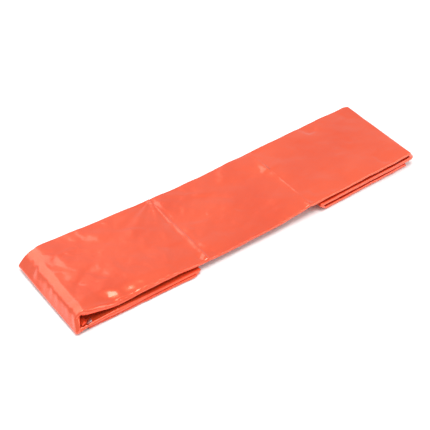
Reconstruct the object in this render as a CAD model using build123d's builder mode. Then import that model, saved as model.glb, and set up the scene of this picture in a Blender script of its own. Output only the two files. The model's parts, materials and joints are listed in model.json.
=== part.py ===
"""Folded emergency survival bag: one long bag of metallised film, pleated to a flat strip and folded at both ends.

The strip is halved three times across its width, so it is eight plies thick. Along its length it runs, from its
left free end, along the floor, up and back at a nose under the left crease, out again, up and over at the left
outer end, across the top as three lengths, and down the same way on the right. Each straight length is a body,
and each fold is a short wall between two bodies, mitred at its corners so that the fold can open flat.

X runs along the strip, Y across it, Z up. The origin is on the floor under the middle of the strip. Millimetres.
"""

import os
from math import atan2, hypot, tan

from build123d import *

# The bag and its pleats
bag_width = 910.0  # across the bag, laid flat
width_pleats = 8  # plies after three halvings across the width
ply = 0.3  # one ply, which is four walls of film with the air between them
layer = 4.2  # the whole pleated strip, loosely pressed
seam_ply = 0.42  # a ply where the film is doubled: the mouth hem, the foot seal and the half fold

# The folded strip
folded_length = 457.0
stack_height = 20.2  # at the outer ends, where the end folds spring open
layer_gap = 0.35  # between lengths that lie on each other
left_top_length = 152.0  # from the head of the left end fold to the left crease
right_top_length = 147.0  # from the head of the right end fold to the right crease
left_end_slant = 9.0  # how far the foot of the left end fold stands outside its head
right_end_slant = 3.0
crease_setback = 12.0  # how far the top of a nose stands outside its crease
nose_slant = 4.0  # how far the foot of a nose stands outside its top
left_nose_spring = 0.0  # how far the left nose springs open beyond the layer gap
right_nose_spring = 3.5
left_free_end_inset = 14.0  # how far the bag's mouth end stops short of the outer end
right_free_end_inset = 9.0

# The bag's ends, at the strip's free ends
hem_width = 10.0
seal_width = 6.0
half_fold_width = 4.0

# Clearance
hinge_gap = 0.3  # between two bodies at a fold

strip_width = bag_width / width_pleats
half_layer = layer / 2
half_gap = hinge_gap / 2
near_edge = -strip_width / 2
far_edge = strip_width / 2
near_fold_line = near_edge + half_layer

# Levels count down from the top ply. The film runs through them in this order, turning back at the near and
# the far edge by turns, as three halvings leave it.
film_levels = (0, 7, 4, 3, 2, 5, 6, 1)
all_runs = range(width_pleats)
all_turns = range(width_pleats - 1)
outer_runs = all_runs[:2]
outer_turns = all_turns[:1]
inner_runs = all_runs[2:]
inner_turns = all_turns[1:]


def point(x, z):
    """A point of the strip's middle line."""
    return Vector(x, 0, z)


def folded_side(side, top_length, end_slant, nose_spring, free_end_inset):
    """The middle line of one folded end, from its free end up to its crease. side is -1 left, +1 right."""
    step = layer + layer_gap
    end_foot_z = half_layer + step
    end_head_z = stack_height - half_layer
    end_slope = atan2(end_head_z - end_foot_z, end_slant)
    end_foot_x = folded_length / 2 - half_layer / tan(end_slope / 2)
    end_head_x = end_foot_x - end_slant
    crease_x = end_head_x - top_length
    nose_head_x = crease_x + crease_setback + half_layer
    nose_foot_x = nose_head_x + nose_slant
    nose_head_z = half_layer + step + nose_spring
    return [
        point(side * (folded_length / 2 - free_end_inset), half_layer),
        point(side * nose_foot_x, half_layer),
        point(side * nose_head_x, nose_head_z),
        point(side * end_foot_x, end_foot_z),
        point(side * end_head_x, end_head_z),
        point(side * crease_x, nose_head_z + step),
    ]


left_line = folded_side(-1, left_top_length, left_end_slant, left_nose_spring, left_free_end_inset)
right_line = folded_side(1, right_top_length, right_end_slant, right_nose_spring, right_free_end_inset)
strip_line = left_line + right_line[::-1]

# The lengths of the strip, in the order that the middle line runs
body_names = [
    "left_bottom",
    "left_nose_fold",
    "left_middle",
    "left_end_fold",
    "left_top",
    "bridge",
    "right_top",
    "right_end_fold",
    "right_middle",
    "right_nose_fold",
    "right_bottom",
]


def direction(index):
    """The unit direction of the length that starts at a point of the middle line."""
    return (strip_line[index + 1] - strip_line[index]).normalized()


def section_plane(origin, along):
    """The plane of the pleats' section: its x is across the strip and its z is along it."""
    return Plane(origin=origin, x_dir=(0, 1, 0), z_dir=along)


def fold_plane(index):
    """The mitre plane at a corner of the middle line, facing along the strip."""
    return Plane(origin=strip_line[index], z_dir=(direction(index - 1) + direction(index)).normalized())


def level_height(level, film):
    """The height of a ply's middle above the strip's middle line."""
    top = half_layer - film / 2
    return top - level * 2 * top / (width_pleats - 1)


def far_fold_line(film):
    """Where the far turns start: the widest of them spans three levels."""
    return far_edge - (level_height(0, film) - level_height(3, film)) / 2 - film / 2


def draw_run(order, film):
    """Draw the film's straight run of that order, from edge to edge of the strip."""
    height = level_height(film_levels[order], film)
    is_bag_side = order in (0, width_pleats - 1)
    far_end = far_edge if is_bag_side else far_fold_line(film)
    with BuildLine() as run:
        Line((far_end, height), (near_fold_line, height))
    trace(run.edges(), line_width=film)


def draw_turn(order, film):
    """Draw the half-round turn that follows the film's run of that order."""
    first = level_height(film_levels[order], film)
    last = level_height(film_levels[order + 1], film)
    at_near_edge = order % 2 == 0
    fold_line = near_fold_line if at_near_edge else far_fold_line(film)
    reach = abs(first - last) / 2 * (-1 if at_near_edge else 1)
    with BuildLine() as turn:
        ThreePointArc((fold_line, first), (fold_line + reach, (first + last) / 2), (fold_line, last))
    trace(turn.edges(), line_width=film)


def draw_film(runs, turns, film):
    for order in runs:
        draw_run(order, film)
    for order in turns:
        draw_turn(order, film)


def film_length(index, runs, turns, start_trim, end_trim):
    """One length of the strip between two corners of the middle line, with its ends mitred."""
    start = strip_line[index]
    finish = strip_line[index + 1]
    along = direction(index)
    overrun_start = layer if index > 0 else -start_trim
    overrun_finish = layer if index + 2 < len(strip_line) else -end_trim
    run = hypot(finish.X - start.X, finish.Z - start.Z) + overrun_start + overrun_finish
    with BuildPart() as film_run:
        with BuildSketch(section_plane(start - along * overrun_start, along)):
            draw_film(runs, turns, ply)
        extrude(amount=run)
        if index > 0:
            split(bisect_by=fold_plane(index).offset(half_gap), keep=Keep.TOP)
        if index + 2 < len(strip_line):
            split(bisect_by=fold_plane(index + 1).offset(-half_gap), keep=Keep.BOTTOM)
    return film_run.part


def end_band(origin, along, width):
    """A band of doubled film across every ply, at a free end of the strip."""
    with BuildPart() as band:
        with BuildSketch(section_plane(origin, along)):
            draw_film(all_runs, all_turns, seam_ply)
        extrude(amount=width)
    return band.part


os.makedirs("parts", exist_ok=True)


def save(piece, name):
    piece.label = name
    export_step(piece, f"parts/{name}.step")


mouth_end_width = hem_width + seal_width
for index, name in enumerate(body_names):
    start_trim = mouth_end_width if index == 0 else 0.0
    end_trim = half_fold_width if index + 1 == len(body_names) else 0.0
    outer_ply = film_length(index, outer_runs, outer_turns, start_trim, end_trim)
    save(outer_ply, f"{name}_outer_ply")
    inner_plies = film_length(index, inner_runs, inner_turns, start_trim, end_trim)
    save(inner_plies, f"{name}_inner_plies")

# The bag's two ends meet at the left free end: the foot seal, and outside it the mouth hem.
along_left = direction(0)
mouth_hem = end_band(strip_line[0], along_left, hem_width)
save(mouth_hem, "left_mouth_hem")
foot_seal = end_band(strip_line[0] + along_left * hem_width, along_left, seal_width)
save(foot_seal, "left_foot_seal")

# At the right free end every ply turns back on itself, where the bag was folded end to end.
along_right = direction(len(body_names) - 1)
half_fold = end_band(strip_line[-1] - along_right * half_fold_width, along_right, half_fold_width)
save(half_fold, "right_half_fold")
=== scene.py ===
"""Folded emergency survival bag: the look of the pleated film strip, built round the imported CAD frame."""

import json
import math

import bpy
import numpy as np
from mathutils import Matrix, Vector


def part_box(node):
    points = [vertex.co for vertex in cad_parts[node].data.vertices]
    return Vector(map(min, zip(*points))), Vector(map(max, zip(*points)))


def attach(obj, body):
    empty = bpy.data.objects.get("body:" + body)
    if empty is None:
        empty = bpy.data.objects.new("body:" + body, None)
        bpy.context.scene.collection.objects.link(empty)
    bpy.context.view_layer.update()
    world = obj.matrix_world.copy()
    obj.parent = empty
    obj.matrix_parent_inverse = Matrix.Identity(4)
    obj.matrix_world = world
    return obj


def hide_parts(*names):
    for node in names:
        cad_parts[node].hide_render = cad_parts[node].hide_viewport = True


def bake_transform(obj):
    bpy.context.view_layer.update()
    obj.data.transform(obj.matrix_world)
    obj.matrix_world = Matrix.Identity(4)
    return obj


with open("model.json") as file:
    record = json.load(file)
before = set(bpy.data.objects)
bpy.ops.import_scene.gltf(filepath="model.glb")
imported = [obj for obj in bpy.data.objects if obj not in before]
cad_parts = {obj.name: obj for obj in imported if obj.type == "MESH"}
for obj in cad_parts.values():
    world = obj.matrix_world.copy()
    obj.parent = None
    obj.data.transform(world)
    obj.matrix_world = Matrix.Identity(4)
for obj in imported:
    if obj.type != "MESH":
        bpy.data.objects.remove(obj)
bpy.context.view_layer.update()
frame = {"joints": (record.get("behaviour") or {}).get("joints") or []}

MM = 0.001

# ---------------------------------------------------------------------------------------------------------
# The strip's middle line, from the CAD frame
# ---------------------------------------------------------------------------------------------------------

BODIES = [
    "left_bottom",
    "left_nose_fold",
    "left_middle",
    "left_end_fold",
    "left_top",
    "bridge",
    "right_top",
    "right_end_fold",
    "right_middle",
    "right_nose_fold",
    "right_bottom",
]
FOLD_JOINTS = [
    "left_nose_unfold",
    "left_nose_unfold_upper",
    "left_end_unfold_lower",
    "left_end_unfold",
    "left_crease",
    "right_crease",
    "right_end_unfold",
    "right_end_unfold_lower",
    "right_nose_unfold_upper",
    "right_nose_unfold",
]
# The side of the strip that each fold's hinge is on: +1 its upper side, -1 its under side
HINGE_SIDES = [-1, -1, 1, 1, 1, 1, 1, 1, -1, -1]

low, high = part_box("left_bottom_outer_ply")
LAYER = high[2] - low[2]
HALF = LAYER / 2
NEAR_Y = low[1]
FAR_Y = high[1]
HALF_WIDTH = FAR_Y
PLY_COUNT = 8
FILM_LEVELS = (0, 7, 4, 3, 2, 5, 6, 1)


def directions(line):
    step = line[..., 1:, :] - line[..., :-1, :]
    return step / np.linalg.norm(step, axis=-1, keepdims=True)


def left_normals(along):
    return np.stack([-along[..., 1], along[..., 0]], axis=-1)


def mitres(line):
    """At each inner point of a line, the offset of a parallel line that lies one unit on its upper side."""
    normal = left_normals(directions(line))
    before, after = normal[..., :-1, :], normal[..., 1:, :]
    shared = (before * after).sum(axis=-1, keepdims=True)
    return (before + after) / (1 + shared)


def middle_line():
    """The strip's middle line in XZ, from the hinges at the folds' outer corners and the two free ends."""
    place = {joint["name"]: joint["pos_m"] for joint in frame["joints"]}
    corners = np.array([[place[name][0], place[name][2]] for name in FOLD_JOINTS])
    left_end = [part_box("left_mouth_hem")[0][0], HALF]
    right_end = [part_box("right_half_fold")[1][0], HALF]
    line = np.vstack([left_end, corners, right_end])
    sides = np.array(HINGE_SIDES, float)[:, None]
    for _ in range(40):
        line[1:-1] = corners - sides * HALF * mitres(line)
    return line


LINE = middle_line()

# ---------------------------------------------------------------------------------------------------------
# How the real film departs from the straight CAD lengths. Millimetres, by fold: vertices 0 to 11 of LINE
# ---------------------------------------------------------------------------------------------------------

LEFT_FREE, LEFT_NOSE_FOOT, LEFT_NOSE_HEAD, LEFT_END_FOOT, LEFT_END_HEAD, LEFT_CREASE = range(6)
RIGHT_CREASE, RIGHT_END_HEAD, RIGHT_END_FOOT, RIGHT_NOSE_HEAD, RIGHT_NOSE_FOOT, RIGHT_FREE = range(6, 12)
VERTEX_COUNT = 12

# How the whole line shifts in X and Z at a fold, where the real film stands further out than the CAD's corner
fold_shift = np.zeros((VERTEX_COUNT, 2))
fold_shift[LEFT_NOSE_FOOT] = (-4.5, 0.0)
fold_shift[LEFT_NOSE_HEAD] = (1.0, -0.3)
fold_shift[LEFT_END_FOOT] = (-4.2, 0.6)
fold_shift[RIGHT_END_FOOT] = (2.6, 1.6)
fold_shift[RIGHT_NOSE_HEAD] = (-1.5, 0.0)
fold_shift[RIGHT_NOSE_FOOT] = (2.5, 0.0)

# How far the near edge stands out beyond the CAD's: the lower lengths of the left end spread the most
near_reach = np.zeros(VERTEX_COUNT)
near_reach[[LEFT_FREE, LEFT_NOSE_FOOT]] = (5.5, 7.0)
near_reach[[LEFT_NOSE_HEAD, LEFT_END_FOOT]] = (5.0, 6.5)
near_reach[LEFT_END_HEAD] = -1.0
near_reach[[LEFT_CREASE, RIGHT_CREASE]] = (2.0, 0.5)
near_reach[[RIGHT_NOSE_HEAD, RIGHT_NOSE_FOOT]] = (2.5, 2.5)
near_reach[RIGHT_FREE] = -1.5

# How the line shifts in X and Z towards the near edge, growing evenly from the far edge
near_shift = np.zeros((VERTEX_COUNT, 2))
near_shift[LEFT_END_HEAD] = (-6.0, 0.8)
near_shift[LEFT_NOSE_HEAD] = (0.0, -0.6)
near_shift[LEFT_CREASE] = (0.0, -1.4)
near_shift[RIGHT_CREASE] = (0.0, -0.8)
near_shift[RIGHT_NOSE_HEAD] = (0.0, -1.0)
near_shift[RIGHT_END_FOOT] = (0.0, 1.2)

# Thickness at the near edge, as a share of the CAD's
near_thickness = np.ones(VERTEX_COUNT)
near_thickness[[LEFT_FREE, LEFT_NOSE_FOOT, LEFT_NOSE_HEAD, LEFT_END_FOOT]] = (0.55, 0.65, 0.7, 0.85)
near_thickness[[RIGHT_NOSE_HEAD, RIGHT_NOSE_FOOT]] = 0.85
near_thickness[[LEFT_END_HEAD, LEFT_CREASE]] = (1.7, 1.15)
near_thickness[[RIGHT_END_HEAD, RIGHT_END_FOOT]] = (1.1, 1.25)

# The fold radii on the outer side of each fold; the inner sides are all tight
OUTER_RADII = [4.0, 3.6, 2.6, 13.0, 30.0, 30.0, 4.5, 3.0, 4.2, 5.0]
INNER_RADIUS = 0.7
HALF_PLY = 0.15
RUN_LENGTH, TURN_LENGTH = 112.0, 4.0  # along the film, across the strip and round a turn

DROOP_WIDTH = 18.0  # the strip along the near edge that droops
LEFT_TOP_DROOP = 2.4
LEFT_CORNER_DROOP = 2.2
LEFT_TOP_FLARE = 3.6  # how far the left top's under ply stands out beyond its top ply, along the near edge
LEFT_MIDDLE_SWELL = 1.3
BRIDGE_DROOP = 1.2
BRIDGE_SAG = 2.3
RIGHT_TOP_DROOP = 0.9
FOOT_BELLY = 12.0  # how far from the left end's foot the film bellies down to the floor
FOOT_DROP = 3.4
BROAD_CELL, BROAD_TILT = 26.0, 0.022  # the crinkles' flats, and how much each one tilts
FINE_CELL, FINE_TILT = 10.0, 0.015
NEAR_PINCH = 0.22  # short ripples along the near edge
HIDDEN_RIPPLE = 0.1  # on the lengths that are folded under
EDGE_STAND_OUT = 0.25  # keeps the outer ply's wavy edge clear of the inner plies
RIGHT_CORNER_TRIM, LEFT_CORNER_TRIM = 2.6, 2.0  # how far the far corners of the top are rounded in

INNER_SQUEEZE = 0.93  # so that the inner plies stay clear of the outer one through the crinkles

ARC_STEPS = 9
LONG_STEP = 1.9
WALL_STEPS = 6


def smooth(t):
    t = np.clip(t, 0, 1)
    return t * t * (3 - 2 * t)


def bell(t):
    return np.exp(-t * t)


class Section:
    """The film's path through some of the pleats: columns of y, height, outward share and length of film."""

    def __init__(self, runs, turns, top_step, step):
        top = HALF / MM - HALF_PLY
        far_reach = (3 / 7) * top + HALF_PLY
        near_line = NEAR_Y / MM + HALF / MM
        self.y, self.h, self.outward, self.across, self.level = [], [], [], [], []
        across = 0.0
        for order in range(PLY_COUNT):
            height = top - FILM_LEVELS[order] * 2 * top / 7
            far = FAR_Y / MM if order in (0, 7) else FAR_Y / MM - far_reach
            ends = (far, near_line) if order % 2 == 0 else (near_line, far)
            if order in runs:
                count = int(abs(ends[1] - ends[0]) / (top_step if order == 0 else step)) + 1
                for t in np.linspace(0, 1, count):
                    self.add(ends[0] + (ends[1] - ends[0]) * t, height, 0.0, across + RUN_LENGTH * t, order)
            across += RUN_LENGTH
            if order in turns:
                after = top - FILM_LEVELS[order + 1] * 2 * top / 7
                middle, radius = (height + after) / 2, (height - after) / 2
                side = -1 if order % 2 == 0 else 1
                line = near_line if order % 2 == 0 else FAR_Y / MM - far_reach
                count = 15 if order == 0 else 7
                for t in np.linspace(0, 1, count)[1:-1]:
                    angle = math.pi * t
                    reach = side * abs(radius) * math.sin(angle)
                    bulge = side * math.sin(angle) if order == 0 else 0.0
                    height = middle + radius * math.cos(angle)
                    self.add(line + reach, height, bulge, across + TURN_LENGTH * t, order)
            across += TURN_LENGTH
        for name in ("y", "h", "outward", "across", "level"):
            setattr(self, name, np.array(getattr(self, name), float))

    def add(self, y, height, outward, across, level):
        self.y.append(y)
        self.h.append(height)
        self.outward.append(outward)
        self.across.append(across)
        self.level.append(level)


def jittered_cells(seed, count=160):
    """Random points, one in each cell of a grid, for the crinkles."""
    return np.random.default_rng(seed).random((count, count, 2)) * 0.9 + 0.05


def crinkle(s, w, cell, seed, sharpness=9.0):
    """Crumpled film: tilted flats, each about a cell wide, that meet in soft ridges."""
    points = jittered_cells(seed)
    count = len(points)
    tilts = np.random.default_rng(seed + 100).normal(0, 1, (count, count, 2))
    u, v = s / cell, w / cell
    iu, iv = np.floor(u).astype(int), np.floor(v).astype(int)
    total = np.zeros(np.broadcast(u, v).shape)
    weights = np.zeros_like(total)
    for du in (-1, 0, 1):
        for dv in (-1, 0, 1):
            index = ((iu + du) % count, (iv + dv) % count)
            p, tilt = points[index], tilts[index]
            along, across = u - iu - du - p[..., 0], v - iv - dv - p[..., 1]
            weight = np.exp(-sharpness * (along**2 + across**2))
            total += weight * (tilt[..., 0] * along + tilt[..., 1] * across)
            weights += weight
    return total / weights * cell


def waves(s, w, length, seed, count=5):
    """Soft undulation from -1 to 1, from a few plane waves."""
    draw = np.random.default_rng(seed)
    total = np.zeros(np.broadcast(s, w).shape)
    for _ in range(count):
        heading = draw.uniform(0, 2 * math.pi)
        scale = 2 * math.pi / (length * draw.uniform(0.7, 1.5))
        total += np.sin((s * math.cos(heading) + w * math.sin(heading)) * scale + draw.uniform(0, 6.28))
    return total / count * 1.4


MIDDLE = LINE / MM
SEGMENT_LENGTHS = np.linalg.norm(MIDDLE[1:] - MIDDLE[:-1], axis=1)
VERTEX_S = np.concatenate([[0], np.cumsum(SEGMENT_LENGTHS)])
WALLS = (1, 3, 7, 9)


def stations():
    """Every station along the strip: (segment, fraction) on a straight, or (vertex, fraction) on a fold."""
    rows = []
    for segment in range(VERTEX_COUNT - 1):
        steps = WALL_STEPS if segment in WALLS else max(WALL_STEPS, int(SEGMENT_LENGTHS[segment] / LONG_STEP))
        for k in range(steps + 1):
            rows.append((0, segment, k / steps))
        if segment < VERTEX_COUNT - 2:
            for k in range(1, ARC_STEPS):
                rows.append((1, segment + 1, k / ARC_STEPS))
    return rows


STATIONS = stations()


def lay_out(section):
    """The section's columns carried along the strip: a grid of points (station, column, 3), in millimetres,
    with the distance along the strip of each station."""
    columns = len(section.y)
    y, h = section.y, section.h
    skew = np.clip((FAR_Y / MM - y) / (2 * HALF_WIDTH / MM), 0, 1)
    line = MIDDLE[None] + fold_shift[None] + skew[:, None, None] * near_shift[None]
    end_wave = waves(y, 0 * y, 30.0, 4) * 1.6 + waves(y, 0 * y, 13.0, 5) * 0.7
    line[:, LEFT_END_HEAD, 0] += end_wave + 1.5 * (1 - skew)
    thickness = 1 + skew[:, None] * (near_thickness[None] - 1)
    height = h[:, None] * thickness
    mitre = mitres(line)
    normal = left_normals(directions(line))
    offsets = np.concatenate([normal[:, :1], mitre, normal[:, -1:]], axis=1)
    corner = line + height[..., None] * offsets
    # a thinner lower length lies lower, and so does the length on it
    sink = (HALF / MM) * (1 - thickness)
    on_floor = [LEFT_NOSE_FOOT, LEFT_FREE, RIGHT_NOSE_FOOT]
    above = [LEFT_NOSE_HEAD, LEFT_END_FOOT, RIGHT_NOSE_HEAD]
    corner[:, on_floor, 1] -= sink[:, on_floor]
    corner[:, above, 1] -= 2 * sink[:, on_floor] + sink[:, above]

    along = directions(corner)
    length = np.linalg.norm(corner[:, 1:] - corner[:, :-1], axis=-1)
    cosine = np.clip((along[:, :-1] * along[:, 1:]).sum(-1), -1, 1)
    turn = np.arccos(cosine)
    side = np.array(HINGE_SIDES, float)[None]
    share = 0.5 + 0.5 * side * h[:, None] / (HALF / MM)
    radius = INNER_RADIUS + (np.array(OUTER_RADII)[None] - INNER_RADIUS) * share
    tangent = radius * np.tan(turn / 2)
    tangent = np.minimum(tangent, 0.46 * np.minimum(length[:, :-1], length[:, 1:]))
    before = np.concatenate([np.zeros((columns, 1)), tangent], axis=1)
    after = np.concatenate([tangent, np.zeros((columns, 1))], axis=1)
    weight = np.cos(turn / 2)

    reach = near_reach[None] * skew[:, None]
    grid = np.zeros((len(STATIONS), columns, 3))
    place = np.zeros(len(STATIONS))
    middle_tangent = np.array([2.0] * 10)
    middle_tangent = np.minimum(middle_tangent, 0.46 * np.minimum(SEGMENT_LENGTHS[:-1], SEGMENT_LENGTHS[1:]))
    mid_before = np.concatenate([[0], middle_tangent])
    mid_after = np.concatenate([middle_tangent, [0]])
    for row, (on_fold, index, t) in enumerate(STATIONS):
        if on_fold:
            i = index - 1
            start = corner[:, index] - along[:, i] * tangent[:, i, None]
            finish = corner[:, index] + along[:, i + 1] * tangent[:, i, None]
            w = weight[:, i, None]
            total = (1 - t) ** 2 + 2 * t * (1 - t) * w + t * t
            point = ((1 - t) ** 2 * start + 2 * t * (1 - t) * w * corner[:, index] + t * t * finish) / total
            out = reach[:, index]
            place[row] = VERTEX_S[index] + middle_tangent[i] * (2 * t - 1)
        else:
            first = corner[:, index] + along[:, index] * before[:, index, None]
            last = corner[:, index + 1] - along[:, index] * after[:, index, None]
            point = first + (last - first) * t
            out = reach[:, index] * (1 - t) + reach[:, index + 1] * t
            low_s = VERTEX_S[index] + mid_before[index]
            high_s = VERTEX_S[index + 1] - mid_after[index]
            place[row] = low_s + (high_s - low_s) * t
        grid[row, :, 0] = point[:, 0]
        grid[row, :, 2] = point[:, 1]
        grid[row, :, 1] = y - out
    return grid, place


def top_share(place):
    """How much a station belongs to the strip's seen top, from the left end's head to the right's."""
    rise = smooth((place - VERTEX_S[LEFT_END_HEAD] + 4) / 8)
    fall = smooth((VERTEX_S[RIGHT_END_HEAD] + 4 - place) / 8)
    return rise * fall


def between(place, first, last, edge=6.0):
    """1 between two vertices of the line, fading to 0 over the edge."""
    a, b = VERTEX_S[first], VERTEX_S[last]
    return smooth((place - a) / edge) * smooth((b - place) / edge)


def arch(place, first, last):
    """0 at two vertices of the line, and 1 half way."""
    t = np.clip((place - VERTEX_S[first]) / (VERTEX_S[last] - VERTEX_S[first]), 0, 1)
    return 4 * t * (1 - t)


def settle(grid, section, place):
    """Sag, droop and crinkle the laid out film."""
    s = place[:, None]
    y = section.y[None]
    h = section.h[None] / (HALF / MM)
    upper = np.clip(h, 0, 1)
    lower = np.clip(-h, 0, 1)
    top = top_share(s)
    near = smooth((NEAR_Y / MM + DROOP_WIDTH - y) / DROOP_WIDTH)

    drop = LEFT_TOP_DROOP * arch(s, LEFT_END_HEAD, LEFT_CREASE) ** 0.7 * near
    drop = drop * between(s, LEFT_END_HEAD, LEFT_CREASE)
    head = s - VERTEX_S[LEFT_END_HEAD]
    drop = drop + LEFT_CORNER_DROOP * near * bell((head - 36) / 20)
    drop = drop + BRIDGE_DROOP * near * between(s, LEFT_CREASE, RIGHT_CREASE, 12)
    more_at_near_edge = 0.55 + 0.45 * (1 - y / (HALF_WIDTH / MM)) / 2
    drop = drop + BRIDGE_SAG * arch(s, LEFT_CREASE, RIGHT_CREASE) * more_at_near_edge
    drop = drop + RIGHT_TOP_DROOP * near * between(s, RIGHT_CREASE, RIGHT_END_HEAD)
    grid[..., 2] -= drop

    # the near edge of the left top leans out at its foot, and the length under it is fuller there
    edge_side = smooth((NEAR_Y / MM + 9 - y) / 7)
    grid[..., 1] -= LEFT_TOP_FLARE * edge_side * (1 - h) / 2 * bell((head - 42) / 42) * smooth(head / 8)
    inside = VERTEX_S[LEFT_END_FOOT] - s
    grid[..., 2] -= LEFT_MIDDLE_SWELL * edge_side * h * bell((inside - 50) / 30) * smooth(inside / 12)

    # outside the left end's foot the film bellies down to the floor, past the free end
    outside = np.clip((1 + h) / 2, 0, 1)
    foot = s - VERTEX_S[LEFT_END_FOOT]
    belly = smooth((foot + FOOT_BELLY) / FOOT_BELLY) * (1 - smooth(foot / FOOT_BELLY))
    grid[..., 2] -= FOOT_DROP * outside * belly

    # the section's normal, in the XZ plane
    along = np.gradient(grid[..., [0, 2]], axis=0)
    along /= np.maximum(np.linalg.norm(along, axis=-1, keepdims=True), 1e-6)
    normal = np.stack([-along[..., 1], along[..., 0]], axis=-1)

    soft = waves(s, y, 60.0, 11) * 0.5 + waves(s, y, 25.0, 12) * 0.2
    # the cells lean with the strip, and are longer than they are wide
    facets = crinkle(s * 0.8 + y * 0.35, y + 60 - s * 0.3, BROAD_CELL, 13) * BROAD_TILT
    facets = facets + crinkle(s + 7, y + 60, FINE_CELL, 14) * FINE_TILT
    near_pinch = smooth((NEAR_Y / MM + 9 - y) / 9) * waves(s, y * 0.3, 8.0, 23) * NEAR_PINCH
    facets = facets + near_pinch
    fan = fan_wrinkles(s, y)
    skin = np.sqrt(upper)
    push = top * (soft + facets * skin + fan * skin)
    push = push + crease_marks(s, y) * skin
    hidden = (1 - top) * HIDDEN_RIPPLE
    push = push + hidden * (waves(s, y, 24.0, 15) * upper - waves(s, y, 24.0, 16) * lower)
    grid[..., 0] += normal[..., 0] * push
    grid[..., 2] += normal[..., 1] * push

    edge = EDGE_STAND_OUT + waves(s, 0 * y, 55.0, 17) * 0.35
    edge = edge + waves(s, section.across[None] * 0.6, 14.0, 18) * 0.16
    grid[..., 1] += section.outward[None] * edge
    far = smooth((y - FAR_Y / MM + 9) / 9)
    right_head = s - VERTEX_S[RIGHT_END_HEAD]
    corners = RIGHT_CORNER_TRIM * bell(right_head / 4.0) + LEFT_CORNER_TRIM * bell(head / 6.0)
    grid[..., 1] -= far * corners
    grid[..., 1] += far * (waves(s, section.level[None] * 37.0, 70.0, 19) * 0.8 - 0.3)
    return grid


def fan_wrinkles(s, y):
    """Soft wrinkles that fan out from the far end of the left crease over the left top."""
    dx = VERTEX_S[LEFT_CREASE] - s
    dy = FAR_Y / MM - y
    distance = np.hypot(dx, dy)
    angle = np.arctan2(dy, np.maximum(dx, 1e-3))
    ripple = np.sin(angle * 11 + 0.8) * 0.6 + np.sin(angle * 19 + 2.1) * 0.4
    fade = smooth((dx + 2) / 6) * smooth(distance / 18) * (1 - smooth((distance - 40) / 70))
    return 0.5 * ripple * fade


def crease_marks(s, y):
    """The ridge and valley that the two creases leave across the top."""
    left = s - VERTEX_S[LEFT_CREASE] - waves(y, 0 * y, 60.0, 21) * 0.5
    mark = 0.45 * bell((left + 1.6) / 2.4) - 0.4 * bell((left - 2.6) / 2.6)
    right = s - VERTEX_S[RIGHT_CREASE] - waves(y, 0 * y, 70.0, 22) * 0.7
    mark = mark + 0.22 * bell((right + 2.0) / 3.5) - 0.16 * bell((right - 4.0) / 3.5)
    near = y - NEAR_Y / MM
    dimple = 0.9 * bell((left + 4) / 3.0) * bell((near - 5) / 3.5)
    dimple = dimple - 1.0 * bell((left + 9) / 3.2) * bell((near - 8) / 4)
    crumple = s - VERTEX_S[LEFT_END_HEAD]
    dimple = dimple - 1.5 * bell((crumple - 27) / 11.0) * bell((near - 6) / 6.0)
    dimple = dimple + 0.9 * bell((crumple - 43) / 6.0) * bell((near - 9) / 5.0)
    dimple = dimple - 0.8 * bell((crumple - 56) / 7.0) * bell((near - 4) / 5.0)
    dimple = dimple + 0.6 * bell((right - 3) / 3.0) * bell((near - 3) / 3)
    dimple = dimple - 0.8 * bell((right - 9) / 3) * bell((near - 5) / 3)
    return mark + dimple


outer_section = Section((0, 1), (0,), 1.25, 3.2)
inner_section = Section(range(2, 8), range(1, 7), 5.0, 5.0)
whole_section = Section(range(8), range(7), 3.0, 4.0)
inner_section.h *= INNER_SQUEEZE


def film_grid(section):
    grid, place = lay_out(section)
    return settle(grid, section, place) * MM, place


outer_grid, PLACE = film_grid(outer_section)
inner_grid, _ = film_grid(inner_section)
whole_grid, _ = film_grid(whole_section)


def grid_normals(grid):
    along = np.gradient(grid, axis=0)
    across = np.gradient(grid, axis=1)
    normal = np.cross(across, along)
    return normal / np.maximum(np.linalg.norm(normal, axis=-1, keepdims=True), 1e-12)


OUTER_NORMALS = grid_normals(outer_grid)
INNER_NORMALS = grid_normals(inner_grid)
WHOLE_NORMALS = grid_normals(whole_grid)


def grid_faces(rows, columns):
    index = np.arange(rows * columns).reshape(rows, columns)
    return np.stack([index[:-1, :-1], index[:-1, 1:], index[1:, 1:], index[1:, :-1]], axis=-1).reshape(-1, 4)


def film_piece(name, grid, normals, section, first, last):
    """A mesh of the film between two stations, with smooth normals and the film's own lengths as its UVs."""
    part = grid[first : last + 1]
    rows, columns = part.shape[:2]
    faces = grid_faces(rows, columns)
    mesh = bpy.data.meshes.new(name)
    mesh.vertices.add(rows * columns)
    mesh.vertices.foreach_set("co", part.reshape(-1).astype(np.float32))
    mesh.loops.add(faces.size)
    mesh.loops.foreach_set("vertex_index", faces.reshape(-1).astype(np.int32))
    mesh.polygons.add(len(faces))
    mesh.polygons.foreach_set("loop_start", np.arange(0, faces.size, 4, dtype=np.int32))
    mesh.polygons.foreach_set("loop_total", np.full(len(faces), 4, np.int32))
    mesh.update(calc_edges=True)
    mesh.polygons.foreach_set("use_smooth", np.ones(len(faces), bool))
    uv = np.stack(
        [
            np.repeat(PLACE[first : last + 1], columns) * MM,
            np.tile(section.across, rows) * MM,
        ],
        axis=-1,
    )
    layer_uv = mesh.uv_layers.new(name="film")
    layer_uv.data.foreach_set("uv", uv[faces.reshape(-1)].astype(np.float32).reshape(-1))
    mesh.normals_split_custom_set_from_vertices(normals[first : last + 1].reshape(-1, 3).tolist())
    obj = bpy.data.objects.new(name, mesh)
    bpy.context.scene.collection.objects.link(obj)
    return obj


def station_at(distance):
    return int(np.argmin(np.abs(PLACE - distance)))


HEM = 10.0
SEAL = 6.0
HALF_FOLD = 4.0


def wall_middle(segment):
    return (VERTEX_S[segment] + VERTEX_S[segment + 1]) / 2


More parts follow.
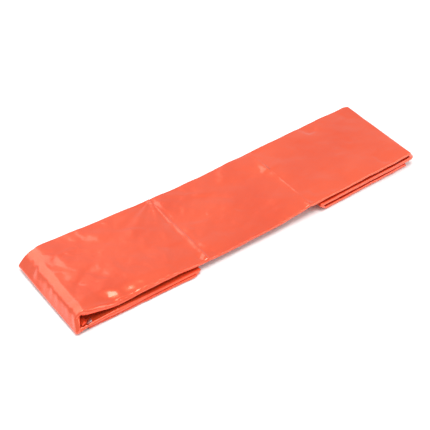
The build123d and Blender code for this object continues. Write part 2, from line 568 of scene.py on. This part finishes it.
# Where the film is cut into pieces, one for each fold: the middles of the walls, and just past the end folds
CUTS = [
    HEM + SEAL,
    wall_middle(1),
    VERTEX_S[LEFT_END_FOOT] - 9,
    wall_middle(3),
    VERTEX_S[LEFT_END_HEAD] + 9,
    VERTEX_S[RIGHT_CREASE] - 9,
    VERTEX_S[RIGHT_END_HEAD] - 9,
    wall_middle(7),
    VERTEX_S[RIGHT_END_FOOT] + 9,
    wall_middle(9),
    VERTEX_S[RIGHT_FREE] - HALF_FOLD,
]
PIECE_NAMES = [
    "left_free_end",
    "left_nose",
    "left_end_lower_fold",
    "left_end_upper_fold",
    "left_top_and_bridge",
    "right_top_film",
    "right_end_upper_fold",
    "right_end_lower_fold",
    "right_nose",
    "right_free_end",
]
REPLACED = [[0], [1, 2], [], [3], [4, 5], [6], [7], [], [8, 9], [10]]


def bend_at_fold(obj):
    """Bakes the piece's placement into its mesh; the piece is not attached to a body and does not turn with
    its fold."""
    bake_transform(obj)


cut_rows = [station_at(cut) for cut in CUTS]
films = []
for fold, name in enumerate(PIECE_NAMES, start=1):
    first, last = cut_rows[fold - 1], cut_rows[fold]
    for kind, grid, normals, section, plies in (
        ("outer", outer_grid, OUTER_NORMALS, outer_section, 2),
        ("inner", inner_grid, INNER_NORMALS, inner_section, 6),
    ):
        obj = film_piece(f"{name}_{kind}", grid, normals, section, first, last)
        bend_at_fold(obj)
        suffix = "_outer_ply" if kind == "outer" else "_inner_plies"
        replaced = [BODIES[body] + suffix for body in REPLACED[fold - 1]]
        if replaced:
            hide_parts(*replaced)
        films.append(obj)

# ---------------------------------------------------------------------------------------------------------
# The near left corner, where the film gapes: a fold of the film stands across the opening, its edge turned out
# ---------------------------------------------------------------------------------------------------------


def corner_fold(name, foot_x, head_x, foot_z, head_z, bulge, depth_from, depth_to):
    """A curved film that stands between the left middle and the left top, just inside the end wall."""
    rows, columns = 20, 18
    v = np.linspace(0, 1, rows)[:, None]
    u = np.linspace(0, 1, columns)[None]
    depth = depth_from + (depth_to - depth_from) * v
    x = foot_x + (head_x - foot_x) * u + bulge * np.sin(math.pi * u) + 0.3 * np.sin(7 * v + 3 * u)
    y = NEAR_Y / MM + depth + 0.5 * np.sin(math.pi * u * 2 + 0.6)
    z = foot_z + (head_z - foot_z) * u
    grid = np.stack([x + 0 * v, y + 0 * u, z + 0 * v], axis=-1) * MM
    mesh = bpy.data.meshes.new(name)
    faces = grid_faces(rows, columns)
    mesh.from_pydata(grid.reshape(-1, 3).tolist(), [], faces.tolist())
    for polygon in mesh.polygons:
        polygon.use_smooth = True
    uv_along = 2.0 + 0 * u + v * (depth_to - depth_from) * MM
    uv = np.stack([uv_along, u * (head_z - foot_z) * MM + 0 * v], axis=-1)
    layer_uv = mesh.uv_layers.new(name="film")
    layer_uv.data.foreach_set("uv", uv.reshape(-1, 2)[faces.reshape(-1)].astype(np.float32).reshape(-1))
    obj = bpy.data.objects.new(name, mesh)
    bpy.context.scene.collection.objects.link(obj)
    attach(obj, "left_end_fold")
    return obj


corner_orange = corner_fold("left_corner_fold", -221.8, -217.0, 8.6, 14.4, 1.8, -5.4, 16.0)
corner_silver = corner_fold("left_corner_turned_edge", -216.0, -212.5, 8.4, 14.2, 2.0, -7.0, -2.8)

hem_outer = film_piece("mouth_hem_outer", outer_grid, OUTER_NORMALS, outer_section, 0, station_at(HEM))
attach(hem_outer, "left_bottom")
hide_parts("left_mouth_hem")
hem_inner = film_piece("mouth_hem_inner", inner_grid, INNER_NORMALS, inner_section, 0, station_at(HEM))
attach(hem_inner, "left_bottom")
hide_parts("left_mouth_hem")
seal = film_piece("foot_seal_film", whole_grid, WHOLE_NORMALS, whole_section, station_at(HEM), cut_rows[0])
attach(seal, "left_bottom")
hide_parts("left_foot_seal")
half_fold = film_piece(
    "half_fold_film", whole_grid, WHOLE_NORMALS, whole_section, cut_rows[-1], len(STATIONS) - 1
)
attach(half_fold, "right_bottom")
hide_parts("right_half_fold")

# ---------------------------------------------------------------------------------------------------------
# Finishes
# ---------------------------------------------------------------------------------------------------------


def node(tree, kind, **values):
    made = tree.nodes.new(kind)
    for name, value in values.items():
        setattr(made, name, value)
    return made


def film_material(name, light, deep, metallic, roughness, bump):
    """Glossy film: two close shades that drift over the film, under fine and broad crinkles."""
    material = bpy.data.materials.new(name)
    material.use_nodes = True
    tree = material.node_tree
    shader = tree.nodes["Principled BSDF"]
    uv = node(tree, "ShaderNodeUVMap", uv_map="film")
    drift = node(tree, "ShaderNodeTexNoise")
    drift.inputs["Scale"].default_value = 14.0
    drift.inputs["Detail"].default_value = 3.0
    ramp = node(tree, "ShaderNodeValToRGB")
    ramp.color_ramp.elements[0].position = 0.35
    ramp.color_ramp.elements[0].color = (*deep, 1)
    ramp.color_ramp.elements[1].position = 0.65
    ramp.color_ramp.elements[1].color = (*light, 1)
    broad = node(tree, "ShaderNodeTexVoronoi", feature="SMOOTH_F1")
    broad.inputs["Scale"].default_value = 75.0
    broad.inputs["Smoothness"].default_value = 0.35
    warp = node(tree, "ShaderNodeTexNoise")
    warp.inputs["Scale"].default_value = 40.0
    warp.inputs["Detail"].default_value = 2.0
    fine = node(tree, "ShaderNodeTexNoise")
    fine.inputs["Scale"].default_value = 260.0
    fine.inputs["Detail"].default_value = 4.0
    mixed = node(tree, "ShaderNodeVectorMath", operation="MULTIPLY_ADD")
    mixed.inputs[1].default_value = (0.02, 0.02, 0.0)
    broad_bump = node(tree, "ShaderNodeBump")
    broad_bump.inputs["Strength"].default_value = bump
    broad_bump.inputs["Distance"].default_value = 0.0012
    fine_bump = node(tree, "ShaderNodeBump")
    fine_bump.inputs["Strength"].default_value = bump * 0.5
    fine_bump.inputs["Distance"].default_value = 0.0003
    link = tree.links.new
    link(uv.outputs["UV"], drift.inputs["Vector"])
    link(uv.outputs["UV"], warp.inputs["Vector"])
    link(warp.outputs["Color"], mixed.inputs[0])
    link(uv.outputs["UV"], mixed.inputs[2])
    link(mixed.outputs["Vector"], broad.inputs["Vector"])
    link(uv.outputs["UV"], fine.inputs["Vector"])
    link(drift.outputs["Fac"], ramp.inputs["Fac"])
    link(ramp.outputs["Color"], shader.inputs["Base Color"])
    link(broad.outputs["Distance"], broad_bump.inputs["Height"])
    link(fine.outputs["Fac"], fine_bump.inputs["Height"])
    link(broad_bump.outputs["Normal"], fine_bump.inputs["Normal"])
    link(fine_bump.outputs["Normal"], shader.inputs["Normal"])
    shader.inputs["Metallic"].default_value = metallic
    shader.inputs["Roughness"].default_value = roughness
    shader.inputs["IOR"].default_value = 1.5
    shader.inputs["Coat Weight"].default_value = 0.8
    shader.inputs["Coat Roughness"].default_value = 0.1
    shader.inputs["Coat IOR"].default_value = 1.5
    shader.inputs["Sheen Weight"].default_value = 0.05
    shader.inputs["Sheen Roughness"].default_value = 0.3
    shader.inputs["Sheen Tint"].default_value = (0.82, 0.72, 0.95, 1)
    return material


orange = film_material("orange_film", (0.83, 0.094, 0.029), (0.77, 0.074, 0.02), 0.5, 0.25, 0.2)
silver = film_material("silver_film", (0.86, 0.86, 0.88), (0.76, 0.76, 0.78), 1.0, 0.3, 0.3)
edge = film_material("orange_film_edge", (0.82, 0.1, 0.038), (0.76, 0.078, 0.028), 0.4, 0.36, 0.2)

for obj in films:
    obj.data.materials.append(orange)
corner_orange.data.materials.append(orange)
corner_silver.data.materials.append(silver)
hem_outer.data.materials.append(edge)
hem_inner.data.materials.append(silver)
seal.data.materials.append(edge)
half_fold.data.materials.append(edge)

# ---------------------------------------------------------------------------------------------------------
# Floor, light and camera
# ---------------------------------------------------------------------------------------------------------

scene = bpy.context.scene
floor_mesh = bpy.data.meshes.new("floor")
FLOOR = 3.0
FLOOR_Z = -0.0006
floor_mesh.from_pydata(
    [(x, y, FLOOR_Z) for x, y in ((-FLOOR, -FLOOR), (FLOOR, -FLOOR), (FLOOR, FLOOR), (-FLOOR, FLOOR))],
    [],
    [(0, 1, 2, 3)],
)
floor = bpy.data.objects.new("floor", floor_mesh)
scene.collection.objects.link(floor)
pale = bpy.data.materials.new("pale_floor")
pale.use_nodes = True
pale_shader = pale.node_tree.nodes["Principled BSDF"]
pale_shader.inputs["Base Color"].default_value = (0.92, 0.92, 0.92, 1)
pale_shader.inputs["Roughness"].default_value = 0.9
pale_shader.inputs["Specular IOR Level"].default_value = 0.2
floor_mesh.materials.append(pale)

world = bpy.data.worlds.new("studio")
scene.world = world
world.use_nodes = True
world.node_tree.nodes["Background"].inputs["Color"].default_value = (1, 1, 1, 1)
world.node_tree.nodes["Background"].inputs["Strength"].default_value = 0.78


def soft_light(name, azimuth, elevation, distance, size, power):
    """A soft box, aimed at the folded strip. Azimuth 0 is behind the strip and 90 is to its right."""
    data = bpy.data.lights.new(name, "AREA")
    data.shape = "RECTANGLE"
    data.size, data.size_y = size
    data.energy = power
    light = bpy.data.objects.new(name, data)
    turn, rise = math.radians(azimuth), math.radians(elevation)
    towards = Vector((math.sin(turn) * math.cos(rise), math.cos(turn) * math.cos(rise), math.sin(rise)))
    place = towards * distance
    light.location = place
    light.rotation_euler = (-place).to_track_quat("-Z", "Y").to_euler()
    scene.collection.objects.link(light)
    return light


soft_light("back_box", -21, 42, 1.8, (2.0, 1.4), 12.0)
soft_light("overhead", 200, 80, 1.8, (1.0, 1.0), 20.0)
soft_light("front_right", 140, 28, 1.8, (0.9, 0.7), 5.0)

AZIMUTH = math.radians(-35.86)
ELEVATION = math.radians(41.09)
DISTANCE = 1.3775
AIM = Vector((-0.0099, 0.00535, 0.0))
away = Vector(
    (
        math.sin(AZIMUTH) * math.cos(ELEVATION),
        -math.cos(AZIMUTH) * math.cos(ELEVATION),
        math.sin(ELEVATION),
    )
)
camera_data = bpy.data.cameras.new("camera")
camera_data.lens = 103.84
camera_data.sensor_width = 36.0
camera = bpy.data.objects.new("camera", camera_data)
camera.location = AIM + away * DISTANCE
camera.rotation_euler = away.to_track_quat("Z", "Y").to_euler()
scene.collection.objects.link(camera)
scene.camera = camera
scene.view_settings.view_transform = "Standard"
